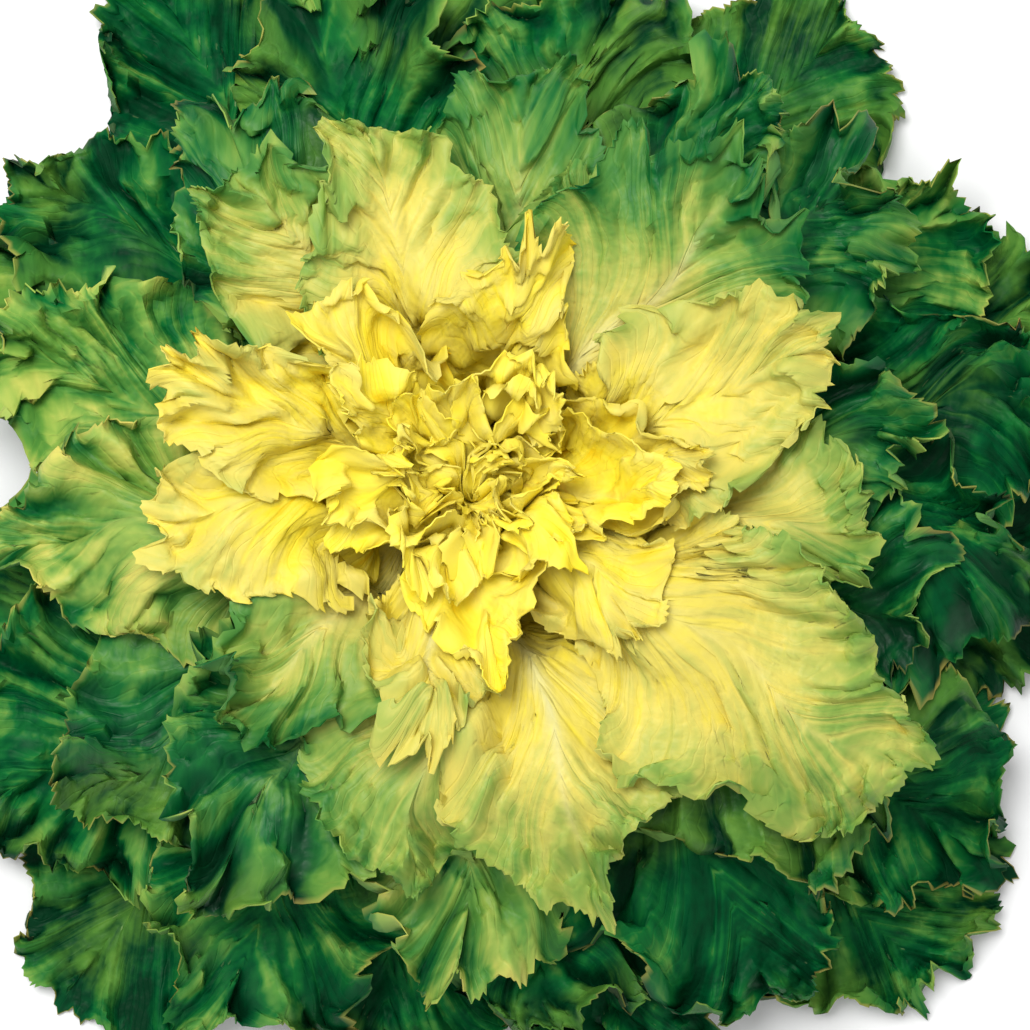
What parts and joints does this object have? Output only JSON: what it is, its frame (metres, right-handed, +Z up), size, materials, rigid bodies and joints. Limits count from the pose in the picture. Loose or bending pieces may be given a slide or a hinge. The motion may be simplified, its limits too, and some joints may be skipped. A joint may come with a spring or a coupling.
{
  "type": "escarole head",
  "caption": "Head of escarole opened flat: ruffled, toothed dark green outer leaves round paler leaves and a crumpled yellow heart, resting on its cut stem.",
  "frame": {"origin": "centre of the stem's flat cut face, which the head rests on", "axes": "+Z up along the axis of growth, out of the heart; +Y towards the top of the picture"},
  "size_m": [0.4176, 0.4068, 0.1115],
  "materials": {
    "stump": "moist cut stem",
    "outer_leaf": "satin dark green leaf with paler margin and veins",
    "mid_leaf": "satin mid green leaf with paler margin and veins",
    "heart_leaf": "satin yellow leaf with pale green tips and whitish midrib"
  },
  "bodies": {
    "root": {"stump": "stump", "heart": "heart_leaf", "outer_leaf_01": "outer_leaf", "outer_leaf_02": "outer_leaf", "outer_leaf_03": "outer_leaf", "outer_leaf_04": "outer_leaf", "outer_leaf_05": "outer_leaf", "outer_leaf_06": "outer_leaf", "outer_leaf_07": "outer_leaf", "outer_leaf_08": "outer_leaf", "outer_leaf_09": "outer_leaf", "outer_leaf_10": "outer_leaf", "outer_leaf_11": "outer_leaf", "outer_leaf_12": "outer_leaf", "outer_leaf_13": "outer_leaf", "outer_leaf_14": "outer_leaf", "outer_leaf_15": "outer_leaf", "outer_leaf_16": "outer_leaf", "outer_leaf_17": "outer_leaf", "outer_leaf_18": "outer_leaf", "outer_leaf_19": "outer_leaf", "outer_leaf_20": "outer_leaf", "outer_leaf_21": "outer_leaf", "outer_leaf_22": "outer_leaf", "outer_leaf_23": "outer_leaf", "outer_leaf_24": "outer_leaf", "mid_leaf_01": "mid_leaf", "mid_leaf_02": "mid_leaf", "mid_leaf_03": "mid_leaf", "mid_leaf_04": "mid_leaf", "mid_leaf_05": "mid_leaf", "mid_leaf_06": "mid_leaf", "mid_leaf_07": "mid_leaf", "mid_leaf_08": "mid_leaf", "mid_leaf_09": "mid_leaf", "mid_leaf_10": "mid_leaf", "heart_leaf_01": "heart_leaf", "heart_leaf_02": "heart_leaf", "heart_leaf_03": "heart_leaf", "heart_leaf_04": "heart_leaf", "heart_leaf_05": "heart_leaf", "heart_leaf_06": "heart_leaf", "heart_leaf_07": "heart_leaf", "heart_leaf_08": "heart_leaf", "heart_leaf_09": "heart_leaf", "heart_leaf_10": "heart_leaf", "heart_leaf_11": "heart_leaf", "heart_leaf_12": "heart_leaf", "heart_leaf_13": "heart_leaf", "heart_leaf_14": "heart_leaf", "heart_leaf_15": "heart_leaf", "heart_leaf_16": "heart_leaf", "heart_leaf_17": "heart_leaf", "heart_leaf_18": "heart_leaf"}
  },
  "joints": []
}
